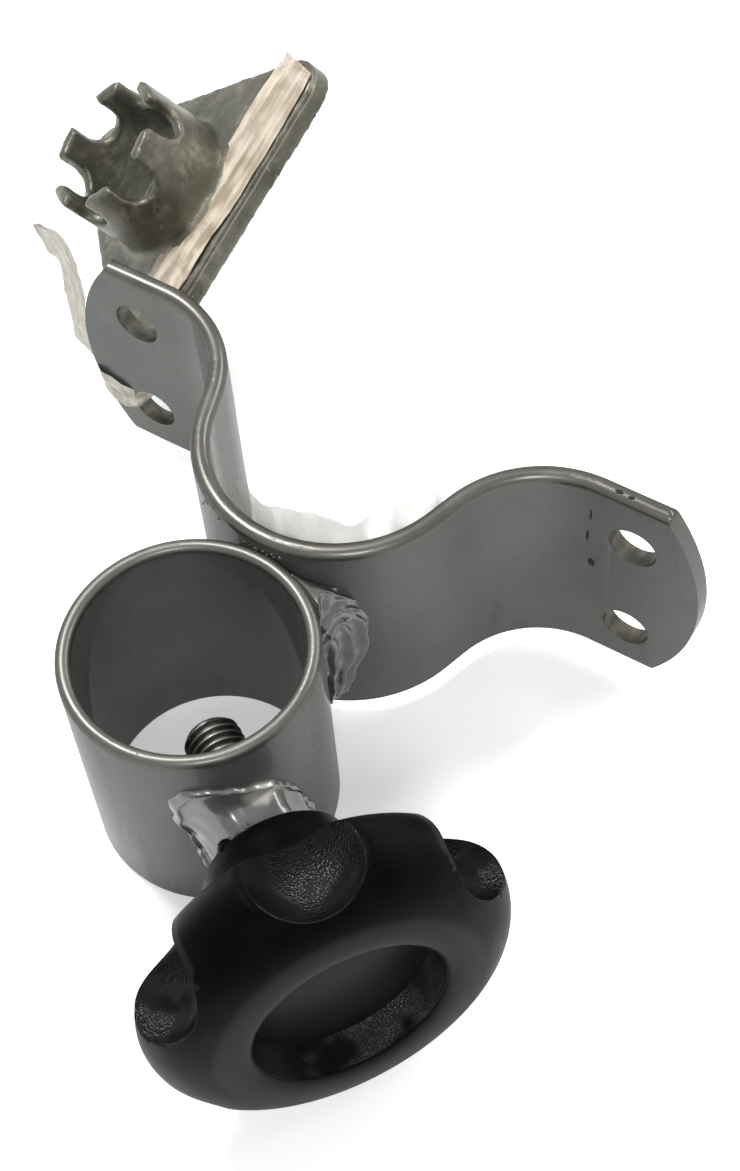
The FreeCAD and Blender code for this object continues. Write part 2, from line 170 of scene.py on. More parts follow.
class Finish:
    """One surface finish: object coordinates in millimetres, patterns and a Principled shader."""

    def __init__(self, name):
        self.material = bpy.data.materials.new(name)
        self.material.use_nodes = True
        self.tree = self.material.node_tree
        self.tree.nodes.clear()
        out = self.tree.nodes.new("ShaderNodeOutputMaterial")
        self.shader = self.tree.nodes.new("ShaderNodeBsdfPrincipled")
        self.tree.links.new(self.shader.outputs[0], out.inputs[0])
        place = node(self.tree, "ShaderNodeTexCoord", pick=OBJECT_COORDS)
        self.at = self.vector("SCALE", place, scale=1000.0)
        split = self.tree.nodes.new("ShaderNodeSeparateXYZ")
        join(self.tree, self.at, split.inputs[0])
        self.x, self.y, self.z = (Val(self.tree, s) for s in split.outputs)

    def vector(self, op, a, b=None, scale=None, pick=0):
        n = self.tree.nodes.new("ShaderNodeVectorMath")
        n.operation = op
        join(self.tree, a, n.inputs[0])
        if b is not None:
            join(self.tree, b, n.inputs[1])
        if scale is not None:
            join(self.tree, scale, n.inputs[SCALE_IN])
        return Val(self.tree, n.outputs[pick])

    def along(self, origin, direction):
        away = self.vector("SUBTRACT", self.at, tuple(origin))
        return self.vector("DOT_PRODUCT", away, tuple(direction), pick=VALUE_OUT)

    def apart(self, point, squeeze=(1.0, 1.0, 1.0)):
        away = self.vector("SUBTRACT", self.at, tuple(point))
        return self.vector("LENGTH", self.vector("MULTIPLY", away, squeeze), pick=VALUE_OUT)

    def noise(self, size, detail=3.0, rough=0.55, stretch=(1.0, 1.0, 1.0), shift=0.0):
        where = self.vector("MULTIPLY", self.at, tuple(s / size for s in stretch))
        where = self.vector("ADD", where, (shift, shift * 1.7, shift * 2.3))
        return node(self.tree, "ShaderNodeTexNoise", Vector=where, Scale=1.0,
                    Detail=detail, Roughness=rough)

    def cells(self, size):
        where = self.vector("MULTIPLY", self.at, (1.0 / size, 1.0 / size, 1.0 / size))
        return node(self.tree, "ShaderNodeTexVoronoi", Vector=where, Scale=1.0)

    def blend(self, mask, a, b):
        n = self.tree.nodes.new("ShaderNodeMix")
        n.data_type = "RGBA"
        join(self.tree, mask, n.inputs[MIX_FACTOR])
        join(self.tree, a, n.inputs[MIX_A])
        join(self.tree, b, n.inputs[MIX_B])
        return Val(self.tree, n.outputs[MIX_OUT])

    def bump(self, height, depth_mm, strength, normal=None):
        n = self.tree.nodes.new("ShaderNodeBump")
        n.inputs["Strength"].default_value = strength
        n.inputs["Distance"].default_value = depth_mm * MM
        join(self.tree, height, n.inputs["Height"])
        if normal is not None:
            join(self.tree, normal, n.inputs["Normal"])
        return Val(self.tree, n.outputs[0])

    def set(self, **inputs):
        for key, item in inputs.items():
            join(self.tree, item, self.shader.inputs[key.replace("_", " ")])
        return self.material


def tinted(tone, factor):
    return tuple(c * factor for c in tone)


def silver_paint(name, rim_top, rubbed, tone=(0.116, 0.122, 0.113), chips=(), holes=()):
    """Metallic grey spray paint: fine flake, slight orange peel, rubbed clouds, dark chips,
    a rim worn through the paint to the metal, and hole walls darkened as painted shade."""
    f = Finish(name)
    cloud = f.noise(24.0, 3.0)
    flake = f.noise(0.36, 2.0, 0.7)
    peel = f.noise(2.2, 2.0, 0.5)
    colour = f.blend(cloud.step(0.34, 0.68), tinted(tone, 0.92), tinted(tone, 1.10))
    colour = f.blend(flake.step(0.48, 0.76) * 0.5, colour, tinted(tone, 1.7))
    rub = f.noise(6.5, 4.0, 0.62, (1.0, 1.0, 0.22), 4.0).step(0.60, 0.76)
    colour = f.blend(rub * 0.25, colour, tinted(tone, 0.62))
    speck = f.noise(1.1, 2.0, 0.5, shift=9.0).step(0.765, 0.79)
    colour = f.blend(speck * 0.7, colour, tinted(tone, 0.25))
    worn = f.z.step(rim_top - 2.3, rim_top - 1.3)
    worn = worn * f.noise(9.0, 3.0, shift=3.0).step(0.30, 0.60, 0.50, 1.0)
    worn = worn * rubbed
    colour = f.blend(worn, colour, (0.100, 0.094, 0.082))
    # Each hole's wall is darkened as painted shade, mottled from near black to brown.
    for x, z, reach in holes:
        away = ((f.x - x) * (f.x - x) + (f.z - z) * (f.z - z)).root()
        inside = away.step(reach - 0.05, reach + 0.25, 1.0, 0.0)
        dull = f.noise(2.4, 3.0, 0.6, shift=8.0).step(0.40, 0.62)
        hole_shade = f.blend(dull, (0.060, 0.060, 0.050), (0.112, 0.098, 0.074))
        colour = f.blend(inside * 0.85, colour, hole_shade)
    chip = speck * 0.6
    for point, reach, stretch in chips:
        ragged = f.noise(1.2, 3.0, 0.7, shift=abs(point[0])) * 1.5
        spot = (f.apart(point, stretch) / reach + ragged).step(1.35, 1.60, 1.0, 0.0)
        chip = chip.top(spot)
    colour = f.blend(chip, colour, (0.024, 0.023, 0.021))
    rough = 0.38 + cloud * 0.08 + flake * 0.06 + rub * 0.08 + chip * 0.25 - worn * 0.17
    normal = f.bump(peel * 0.7 + flake * 0.3, 0.05, 0.30)
    normal = f.bump(1.0 - chip, 0.10, 0.5, normal)
    return f.set(Base_Color=colour, Metallic=0.46 - chip * 0.40 + worn * 0.42,
                 Roughness=rough, Normal=normal,
                 Specular_Tint=(0.16, 0.17, 0.15), Specular_IOR_Level=0.30,
                 Coat_Weight=0.22 - chip * 0.22, Coat_Roughness=0.08, Coat_IOR=1.40)


def painted_weld(name, tone=(0.112, 0.118, 0.108), metal=0.50, shine=0.20, painted_highlight=None):
    """Weld metal under glossy grey paint, with a few burnt specks and sometimes a painted
    highlight: a whitish spot around a brown centre.
    """
    highlight_r = 5.0
    f = Finish(name)
    cloud = f.noise(6.0, 3.0, 0.5)
    fine = f.noise(0.9, 2.0, 0.5)
    colour = f.blend(cloud.step(0.34, 0.70), tinted(tone, 0.90), tinted(tone, 1.14))
    burnt = f.noise(1.3, 4.0, 0.7, shift=5.0).step(0.73, 0.77)
    colour = f.blend(burnt * 0.6, colour, (0.022, 0.020, 0.018))
    if painted_highlight is not None:
        # The painted highlight: a whitish spot, with a brown centre within it.
        reach = f.apart(painted_highlight) / highlight_r + cloud * 0.9
        colour = f.blend(reach.step(1.00, 1.35, 1.0, 0.0), colour, (0.56, 0.54, 0.50))
        colour = f.blend(reach.step(0.62, 0.85, 0.7, 0.0), colour, (0.25, 0.20, 0.16))
    rough = shine + cloud * 0.12 + burnt * 0.3
    return f.set(Base_Color=colour, Metallic=metal, Roughness=rough,
                 Normal=f.bump(fine, 0.06, 0.25), Specular_Tint=(0.25, 0.26, 0.24),
                 Coat_Weight=0.8, Coat_Roughness=0.07, Coat_IOR=1.5)


def oiled_thread(name):
    """Dark oiled steel, lighter on the thread's crests."""
    f = Finish(name)
    away = f.vector("SUBTRACT", f.at, tuple(SCREW_ORIGIN))
    across = f.vector("CROSS_PRODUCT", away, tuple(SCREW_OUT))
    reach = f.vector("LENGTH", across, pick=VALUE_OUT)
    cloud = f.noise(2.2, 4.0, 0.6)
    grit = f.noise(0.4, 2.0, 0.6)
    crest = reach.step(5.70, 5.93) * cloud.step(0.30, 0.60, 0.35, 1.0)
    colour = f.blend(cloud.step(0.35, 0.70), (0.060, 0.062, 0.056), (0.130, 0.132, 0.120))
    colour = f.blend(crest, colour, (0.36, 0.355, 0.33))
    rough = 0.40 + grit * 0.18 - crest * 0.12
    return f.set(Base_Color=colour, Metallic=0.9, Roughness=rough,
                 Normal=f.bump(cloud + grit * 0.5, 0.06, 0.5))


def as_cast(name):
    """Dull brownish grey casting with sandy skin, rubbed high spots and a parting line."""
    f = Finish(name)
    cloud = f.noise(13.0, 4.0, 0.6)
    grain = f.noise(0.5, 3.0, 0.65)
    pits = f.noise(2.2, 4.0, 0.65, shift=3.0)
    rubbed = f.noise(5.0, 4.0, 0.62, (1.0, 1.0, 0.6), 7.0)
    colour = f.blend(cloud.step(0.32, 0.68), (0.076, 0.074, 0.056), (0.136, 0.132, 0.104))
    colour = f.blend(rubbed.step(0.52, 0.72) * 0.55, colour, (0.290, 0.262, 0.205))
    colour = f.blend(grain.step(0.54, 0.74) * 0.45, colour, (0.045, 0.042, 0.036))
    colour = f.blend(pits.step(0.64, 0.76) * 0.6, colour, (0.40, 0.375, 0.32))
    depth = f.along(CAST_ORIGIN, CAST_OUT)
    parting = (depth + 1.7).absolute().step(0.08, 0.30, 1.0, 0.0)
    parting = parting * f.noise(5.0, 3.0, shift=2.0).step(0.22, 0.42)
    colour = f.blend(parting * 0.6, colour, (0.30, 0.285, 0.215))
    normal = f.bump(grain * 0.6 + pits * 0.7 + rubbed * 0.6, 0.20, 0.55)
    normal = f.bump(parting, 0.30, 0.7, normal)
    return f.set(Base_Color=colour, Metallic=0.70, Normal=normal,
                 Roughness=0.26 + grain * 0.16 + cloud * 0.10)


def knob_plastic(name):
    """Black moulded plastic: satin, with sparkling pebble in the hollows and the recess's wall, and
    a front face painted lighter as a painted reflection.
    """
    f = Finish(name)
    out = f.along(SCREW_ORIGIN, SCREW_OUT)
    side = f.along(SCREW_ORIGIN, SCREW_SIDE)
    rise = f.along(SCREW_ORIGIN, SCREW_UP)
    radial = (side * side + rise * rise).root()
    hollow = None
    for k in range(HOLLOWS):
        a = math.radians(90 + 360 / HOLLOWS * k)
        ds = side - HOLLOW_AT * math.cos(a)
        dr = rise - HOLLOW_AT * math.sin(a)
        over = (out - HOLLOW_END).top(0.0)
        near = (ds * ds + dr * dr + over * over).root()
        near = near.step(HOLLOW_R + 0.06, HOLLOW_R + 0.30, 1.0, 0.0)
        hollow = near if hollow is None else hollow.top(near)
    hollow = hollow * out.step(KNOB_BACK + 0.2, KNOB_BACK + 1.2)
    recess = radial.step(RECESS_R + 0.05, RECESS_R + 0.20, 1.0, 0.0)
    recess = recess * out.step(KNOB_FACE - 0.5, KNOB_FACE - 0.2, 1.0, 0.0)
    recess = recess * radial.step(RECESS_R - 1.0, RECESS_R - 0.5)
    zone = hollow.top(recess)
    face = out.step(KNOB_FACE - 0.9, KNOB_FACE - 0.3)
    rim = (1.0 - face) * out.step(KNOB_BACK - 0.4, KNOB_BACK + 1.6)
    patch = f.noise(9.0, 2.0, 0.5, shift=1.0).step(0.40, 0.60, 0.15, 1.0)
    pebble = f.cells(0.50)
    fine = f.noise(0.42, 2.0, 0.6)
    cloud = f.noise(9.0, 3.0)
    scuff = f.noise(2.0, 4.0, 0.7, (1.0, 1.0, 0.15), 6.0).step(0.69, 0.75)
    scuff = scuff * (1.0 - zone)
    colour = f.blend(cloud.step(0.3, 0.7), (0.0014, 0.0016, 0.0015), (0.0024, 0.0026, 0.0025))
    # The front face is painted lighter than the lobes: a painted reflection of the brighter
    # surroundings.
    colour = f.blend(face, colour, (0.0125, 0.0142, 0.0128))
    colour = f.blend(scuff * 0.25, colour, (0.050, 0.050, 0.050))
    glint = zone * patch
    colour = f.blend(glint, colour, (0.026, 0.027, 0.027))
    rough = 0.40 + cloud * 0.10 - zone * 0.14 + scuff * 0.10
    normal = f.bump(fine, 0.03, 0.22)
    normal = f.bump(pebble * patch * (zone * 0.8 + rim * 0.08), 0.30, 0.80, normal)
    return f.set(Base_Color=colour, Roughness=rough, Normal=normal, Specular_IOR_Level=0.12,
                 Metallic=glint * 0.7 + rim * patch * 0.18, Specular_Tint=(0.085, 0.090, 0.087))


def cap_plastic(name):
    """The same black plastic on the disc at the recess's floor, a little lighter."""
    f = Finish(name)
    cloud = f.noise(7.0, 3.0)
    fine = f.noise(0.42, 2.0, 0.6)
    colour = f.blend(cloud.step(0.3, 0.7), (0.0095, 0.0108, 0.0098), (0.0115, 0.0130, 0.0118))
    return f.set(Base_Color=colour, Roughness=0.44 + cloud * 0.10, Normal=f.bump(fine, 0.03, 0.22),
                 Specular_IOR_Level=0.30, Specular_Tint=(0.085, 0.090, 0.087))


def packing_film(name, tone, crest, clear, gain=0.08, grain=1.0):
    """Thin milky film with long creases: clearer between them, whiter along their tops, partly the
    film's own whitening and partly painted highlight.
    """
    f = Finish(name)
    strip = node(f.tree, "ShaderNodeTexCoord", pick=UV_COORDS)
    run = f.vector("MULTIPLY", strip, (620.0 * grain, 60.0 * grain, 1.0))
    crease = node(f.tree, "ShaderNodeTexNoise", Vector=run, Scale=1.0, Detail=3.0, Roughness=0.5)
    wide = f.vector("MULTIPLY", strip, (150.0 * grain, 130.0 * grain, 1.0))
    cross = node(f.tree, "ShaderNodeTexNoise", Vector=wide, Scale=1.0, Detail=3.0, Roughness=0.5)
    body = (crease * 0.55 + cross * 0.45).step(0.41, 0.59)
    # Towards the crease tops the colour goes to the lighter crest tone: partly the film's own
    # whitening, partly painted highlight.
    colour = f.blend(body, tone, crest)
    f.material.surface_render_method = "BLENDED"
    return f.set(Base_Color=colour, Alpha=clear + body * gain, Roughness=0.18 + cross * 0.2,
                 Normal=f.bump(crease + cross * 0.5, 0.35, 0.6), Specular_IOR_Level=0.5)


def to_piece(name, verts, faces, material, closed=True, flat_angle=None):
    """A smooth piece from a mesh in millimetres; a closed one has doubles merged, faces outward."""
    mesh = bpy.data.meshes.new(name)
    mesh.from_pydata([tuple(Vector(v) * MM) for v in verts], [], faces)
    bm = bmesh.new()
    bm.from_mesh(mesh)
    if closed:
        bmesh.ops.remove_doubles(bm, verts=bm.verts, dist=2e-6)
        bmesh.ops.dissolve_degenerate(bm, edges=bm.edges, dist=1e-6)
        bmesh.ops.recalc_face_normals(bm, faces=bm.faces)
    bm.to_mesh(mesh)
    bm.free()
    mesh.materials.append(material)
    for p in mesh.polygons:
        p.use_smooth = True
    if flat_angle is not None:
        mesh.set_sharp_from_angle(angle=math.radians(flat_angle))
    obj = bpy.data.objects.new(name, mesh)
    scene.collection.objects.link(obj)
    return obj


def skin(rings, cap=True):
    """Verts and faces of a tube through rings of equal count, its ends closed to a centre."""
    count = len(rings[0])
    verts = [v for ring in rings for v in ring]
    faces = []
    for j in range(len(rings) - 1):
        for i in range(count):
            k = (i + 1) % count
            faces.append((j * count + i, j * count + k,
                          (j + 1) * count + k, (j + 1) * count + i))
    if cap:
        for j in (0, len(rings) - 1):
            centre = sum((Vector(v) for v in rings[j]), Vector()) / count
            verts.append(centre)
            for i in range(count):
                faces.append((j * count + i, j * count + (i + 1) % count, len(verts) - 1))
    return verts, faces


def through(table, x):
    """A smooth reading between the (place, value) pairs of a short table."""
    if x <= table[0][0]:
        return table[0][1]
    for (a, fa), (b, fb) in zip(table, table[1:]):
        if x <= b:
            t = (x - a) / (b - a)
            t = t * t * (3.0 - 2.0 * t)
            return fa + (fb - fa) * t
    return table[-1][1]


def lump(p, size, seed):
    """Smooth noise between about -1 and 1, with bumps as far apart as the size."""
    return noise.noise(Vector(p) / size + Vector((seed, seed * 1.7, seed * 0.6)))


def screw_point(side, up, out):
    return SCREW_ORIGIN + SCREW_SIDE * side + SCREW_UP * up + SCREW_OUT * out


def around_screw(r, a, out):
    return screw_point(r * math.cos(a), r * math.sin(a), out)


def hexagon_bend(a):
    """The angle from the middle of the nearest flat of a hexagon."""
    return (a + math.pi / 6) % (math.pi / 3) - math.pi / 6


def clamp_screw(material):
    """M12 coarse thread from its chamfered tip to the knob, with the hexagon inside the knob."""
    turn = 40
    sides = 48
    profile = [0.0, 0.0, 0.06, 0.26, 0.50, 0.74, 0.94, 1.0, 0.98, 0.80, 0.56, 0.32, 0.12, 0.02]
    per = len(profile)
    rows = int((THREAD_END - SCREW_TIP) / PITCH * per) + 2 * per
    verts = []
    for j in range(rows + 1):
        for i in range(turn):
            a = 2.0 * math.pi * i / turn
            out = SCREW_TIP - PITCH + PITCH * (j / per + i / turn)
            at = min(max(out, SCREW_TIP), THREAD_END)
            r = ROOT_R + (CREST_R - ROOT_R) * profile[j % per]
            r = min(r, TIP_R + (at - SCREW_TIP) * 0.9)
            if out <= SCREW_TIP:
                r = TIP_R
            if out >= THREAD_END:
                r = 5.4
            verts.append(around_screw(r, a, at))
    faces = []
    for j in range(rows):
        for i in range(turn):
            if i < turn - 1:
                faces.append((j * turn + i, j * turn + i + 1,
                              (j + 1) * turn + i + 1, (j + 1) * turn + i))
            else:
                low = min(j + per, rows)
                high = min(j + 1 + per, rows)
                faces.append((j * turn + i, low * turn, high * turn, (j + 1) * turn + i))
    for j, at in ((0, SCREW_TIP), (rows, THREAD_END)):
        verts.append(screw_point(0.0, 0.0, at))
        for i in range(turn):
            faces.append((j * turn + i, j * turn + (i + 1) % turn, len(verts) - 1))
    rings = []
    for at in (43.5, 54.1):
        rings.append([around_screw(5.3, 2 * math.pi * i / sides, at) for i in range(sides)])
    for inset, at in ((0.6, 54.1), (0.0, 54.6), (0.0, 61.1), (0.6, 61.55)):
        ring = []
        for i in range(sides):
            a = 2 * math.pi * i / sides
            r = (HEAD_FLAT - inset) / math.cos(hexagon_bend(a))
            ring.append(around_screw(r, a, at))
        rings.append(ring)
    more, quads = skin(rings)
    start = len(verts)
    verts += more
    faces += [tuple(start + i for i in q) for q in quads]
    obj = to_piece("clamp_screw_thread", verts, faces, material, flat_angle=50)
    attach(obj, "knob")
    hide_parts("clamp_screw")


def groove_weld(name, side, rail_side, collar_side, low, high, seed, material, node_name):
    """Weld in the groove between collar and saddle: ridges that fan out and meet at the foot."""
    rows = 150
    across = 44
    rings = []
    for j in range(rows + 1):
        f = j / rows
        z = low + (high - low) * f
        taper = min(1.0, math.sqrt(max(0.0, min(f / 0.10, (1.0 - f) / 0.05))))
        alpha = math.radians(-90.0 + through(rail_side, z) * (0.55 + 0.45 * taper))
        beta = math.radians(through(collar_side, z) * (0.55 + 0.45 * taper))
        pc = Vector((COLLAR_R * math.sin(beta), COLLAR_Y + COLLAR_R * math.cos(beta), z))
        ps = Vector((SADDLE_R * math.cos(alpha), SADDLE_R * math.sin(alpha), z))
        apex = Vector((5.0, -29.9, z))
        mid = (pc + ps) * 0.5
        control = mid.lerp(apex, 0.42 - 0.30 * taper)
        ring = []
        for i in range(across + 1):
            t = i / across
            p = pc * (1 - t) ** 2 + control * (2 * t * (1 - t)) + ps * t ** 2
            away = (p - apex).normalized()
            edge = min(1.0, min(t, 1.0 - t) * 7.0)
            sway = 0.28 * lump((p.x, p.y, z * 0.4), 8.0, seed)
            fan = math.sin(2 * math.pi * (3.6 * t + 0.5 * f + sway))
            fan = (0.5 + 0.5 * fan) ** 2.0
            bow = abs(math.sin(math.pi * (z / 4.6 + 1.1 * (t - 0.45) ** 2 * 4.0
                                          + 0.35 * lump((p.x, p.y, z), 7.0, seed + 3))))
            high_part = min(1.0, max(0.0, f - 0.62) / 0.22)
            h = 1.55 * fan * (1.0 - high_part) + 1.15 * (1.0 - bow ** 0.7) * high_part
            h += 0.50 * lump(p, 5.0, seed + 1) + 0.50 * high_part * lump(p, 2.1, seed + 2)
            q = p + away * ((h + 0.15) * edge * taper - 0.35 * (1.0 - edge))
            q.z += 2.0 * math.sin(math.pi * t) * f ** 6
            ring.append(q)
        ring.append(Vector((apex.x + 1.2, apex.y + 0.25, z)))
        ring.append(apex)
        ring.append(Vector((apex.x + 1.2, apex.y - 0.25, z)))
        rings.append([Vector((side * v.x, v.y, v.z)) for v in ring])
    verts, faces = skin(rings)
    obj = to_piece(name, verts, faces, material)
    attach(obj, "bracket")
    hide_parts(node_name)


def collar_depth(side, up):
    """How far out along the screw the collar's outer wall lies, for a place beside the screw."""
    b = SCREW_SIDE * side + SCREW_UP * up
    a2 = SCREW_OUT.x ** 2 + SCREW_OUT.y ** 2
    ab = b.x * SCREW_OUT.x + b.y * SCREW_OUT.y
    c = b.x ** 2 + b.y ** 2 - COLLAR_R ** 2
    return (-ab + math.sqrt(max(0.0, ab * ab - a2 * c))) / a2


# How far the weld's foot spreads from the screw, in millimetres, at each angle round it.
NUT_FOOT = ((0, 10.9), (31, 10.4), (50, 11.6), (70, 13.2), (90, 14.6), (104, 17.0), (114, 19.8),
            (123, 21.6), (133, 20.6), (152, 16.6), (171, 12.8), (200, 12.4), (215, 14.5),
            (231, 17.4), (250, 15.0), (270, 13.8), (295, 15.0), (319, 18.0), (336, 13.5),
            (350, 11.5), (360, 10.9))


def nut_blob(material):
    """Hexagon nut drowned in weld and paint: flat top, soft corners, a lip of paint at its foot."""
    turn = 144
    rings = []
    steps = 26
    for k in range(steps + 1):
        q = 1.0 - k / steps
        ring = []
        for i in range(turn):
            a = 2.0 * math.pi * i / turn
            deg = math.degrees(a)
            hexa = min(NUT_FLAT / math.cos(hexagon_bend(a - math.radians(90))), NUT_CORNER)
            foot = through(NUT_FOOT, deg)
            rag = 0.7 * lump((math.cos(a) * 9, math.sin(a) * 9, 0), 6.0, 11.0)
            r = hexa + (foot + rag - hexa) * q
            side = r * math.cos(a)
            up = r * math.sin(a)
            base = collar_depth(side, up)
            lip = 0.85 + 0.25 * lump((side, up, 0), 6.0, 4.0)
            lip = lip + 0.75 * math.exp(-((q - 0.88) / 0.09) ** 2)
            rise = lip * min(1.0, (1.0 - q) * 7.0) ** 0.5
            rise = rise + (NUT_TOP - base - lip) * (1.0 - q) ** 4.2
            if k == 0:
                rise = -0.5
            body = min(1.0, k / 4)
            wave = 0.30 * lump((side, up, rise), 5.5, 2.0) * body
            away = SCREW_SIDE * math.cos(a) + SCREW_UP * math.sin(a)
            ring.append(screw_point(side, up, base + rise) + away * wave)
        rings.append(ring)
    for shrink, out in ((0.35, 32.5), (0.95, 33.1), (1.9, 33.38), (3.0, 33.4)):
        ring = []
        for i in range(turn):
            a = 2.0 * math.pi * i / turn
            hexa = min(NUT_FLAT / math.cos(hexagon_bend(a - math.radians(90))), NUT_CORNER)
            wave = 0.16 * lump((math.cos(a) * 10, math.sin(a) * 10, out), 2.4, 8.0)
            ring.append(around_screw(hexa - shrink + wave, a, out))
        rings.append(ring)
    hole_r = 6.2
    for out in (33.3, 24.2):
        rings.append([around_screw(hole_r, 2 * math.pi * i / turn, out) for i in range(turn)])
    floor = []
    floor_r = 9.0
    for i in range(turn):
        a = 2.0 * math.pi * i / turn
        base = collar_depth(floor_r * math.cos(a), floor_r * math.sin(a))
        floor.append(around_screw(floor_r, a, base - 0.9))
    rings.append(floor)
    verts, faces = skin(rings + [rings[0]], cap=False)
    obj = to_piece("nut_weld_blob", verts, faces, material)
    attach(obj, "bracket")
    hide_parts("nut_weld", "clamp_nut")


def spatter_tree():
    """Geometry nodes: beads of random size scattered on a patch, made real and given a finish."""
    tree = bpy.data.node_groups.new("weld_spatter", "GeometryNodeTree")
    sockets = {}
    for label, kind, value in (("Patch", "NodeSocketGeometry", None),
                               ("Beads per area", "NodeSocketFloat", 1e6),
                               ("Bead size", "NodeSocketFloat", 0.0005),
                               ("Seed", "NodeSocketInt", 3),
                               ("Finish", "NodeSocketMaterial", None)):
        item = tree.interface.new_socket(label, in_out="INPUT", socket_type=kind)
        if value is not None:
            item.default_value = value
        sockets[label] = item.identifier
    tree.interface.new_socket("Beads", in_out="OUTPUT", socket_type="NodeSocketGeometry")
    given = tree.nodes.new("NodeGroupInput")
    result = tree.nodes.new("NodeGroupOutput")
    scatter = tree.nodes.new("GeometryNodeDistributePointsOnFaces")
    bead = tree.nodes.new("GeometryNodeMeshIcoSphere")
    bead.inputs["Radius"].default_value = 1.0
    bead.inputs["Subdivisions"].default_value = 2
    spread = tree.nodes.new("FunctionNodeRandomValue")
    spread.data_type = "FLOAT"
    spread.inputs[2].default_value = 0.35
    spread.inputs[3].default_value = 1.0
    size = tree.nodes.new("ShaderNodeMath")
    size.operation = "MULTIPLY"
    place = tree.nodes.new("GeometryNodeInstanceOnPoints")
    real = tree.nodes.new("GeometryNodeRealizeInstances")
    smooth = tree.nodes.new("GeometryNodeSetShadeSmooth")
    coat = tree.nodes.new("GeometryNodeSetMaterial")
    link = tree.links.new
    link(given.outputs["Patch"], scatter.inputs["Mesh"])
    link(given.outputs["Beads per area"], scatter.inputs["Density"])
    link(given.outputs["Seed"], scatter.inputs["Seed"])
    link(given.outputs["Seed"], spread.inputs["Seed"])
    link(spread.outputs[1], size.inputs[0])
    link(given.outputs["Bead size"], size.inputs[1])
    link(scatter.outputs["Points"], place.inputs["Points"])
    link(bead.outputs["Mesh"], place.inputs["Instance"])
    link(size.outputs[0], place.inputs["Scale"])
    link(place.outputs["Instances"], real.inputs[0])
    link(real.outputs[0], smooth.inputs[0])
    link(smooth.outputs[0], coat.inputs["Geometry"])
    link(given.outputs["Finish"], coat.inputs["Material"])
    link(coat.outputs[0], result.inputs[0])
    return tree, sockets


def saddle_patch(radius, first, last, heights):
    """A patch round the saddle's outer face between two angles, as rows of points."""
    return [[(radius * math.cos(math.radians(a)), radius * math.sin(math.radians(a)), z)
             for a in range(first, last, 3)] for z in heights]


def spatter(name, patch, per_mm2, size_mm, seed, material, tree, sockets):
    """Beads on a patch, a grid of points in millimetres."""
    cols = len(patch[0])
    verts = [tuple(Vector(v) * MM) for row in patch for v in row]
    faces = [(j * cols + i, j * cols + i + 1, (j + 1) * cols + i + 1, (j + 1) * cols + i)
             for j in range(len(patch) - 1) for i in range(cols - 1)]
    mesh = bpy.data.meshes.new(name + "_patch")
    mesh.from_pydata(verts, [], faces)
    guide = bpy.data.objects.new(name + "_patch", mesh)
    scene.collection.objects.link(guide)
    mod = guide.modifiers.new("spatter", "NODES")
    mod.node_group = tree
    for label, value in (("Beads per area", per_mm2 * 1e6), ("Bead size", size_mm * MM),
                         ("Seed", seed), ("Finish", material)):
        mod[sockets[label]] = value
    depsgraph = bpy.context.evaluated_depsgraph_get()
    made = bpy.data.meshes.new_from_object(guide.evaluated_get(depsgraph), depsgraph=depsgraph)
    made.name = name
    bpy.data.objects.remove(guide)
    obj = bpy.data.objects.new(name, made)
    scene.collection.objects.link(obj)
    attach(obj, "bracket")


def film(name, rows, ripple, seed, material, lift, cols=12, fine=6):
    """A strip of film: rows of (left, right) edge points, smoothed along and crumpled across."""
    def smooth_at(points, x):
        k = min(int(x), len(points) - 2)
        t = x - k
        p0 = points[max(k - 1, 0)]
        p1 = points[k]
        p2 = points[k + 1]
        p3 = points[min(k + 2, len(points) - 1)]
        return 0.5 * (2 * p1 + (p2 - p0) * t + (2 * p0 - 5 * p1 + 4 * p2 - p3) * t * t
                      + (3 * p1 - p0 - 3 * p2 + p3) * t * t * t)

    left = [Vector(r[0]) for r in rows]
    right = [Vector(r[1]) for r in rows]
    count = (len(rows) - 1) * fine
    verts = []
    for j in range(count + 1):
        x = j / fine
        a = smooth_at(left, x)
        b = smooth_at(right, x)
        for i in range(cols + 1):
            t = i / cols
            p = a.lerp(b, t)
            crumple = lump((t * 9.0 + seed, j * 0.16, seed), 1.0, seed) * 0.65
            crumple = crumple + lump(p, 2.6, seed + 2) * 0.5
            verts.append(p + lift * (crumple + 0.45) * ripple)
    w = cols + 1
    faces = [(j * w + i, j * w + i + 1, (j + 1) * w + i + 1, (j + 1) * w + i)
             for j in range(count) for i in range(cols)]
    obj = to_piece(name, verts, faces, material, closed=False)
    layer = obj.data.uv_layers.new(name="strip")
    for p in obj.data.polygons:
        for corner in p.loop_indices:
            v = obj.data.loops[corner].vertex_index
            layer.data[corner].uv = ((v % w) / cols * 0.008, (v // w) / fine * 0.010)
    length = sum((smooth_at(left, (j + 1) / 8) - smooth_at(left, j / 8)).length
                 for j in range((len(rows) - 1) * 8)) * MM
    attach(obj, "bracket")


def cast_point(level, climb, out):
    return CAST_ORIGIN + CAST_LEVEL * level + CAST_CLIMB * climb + CAST_OUT * out


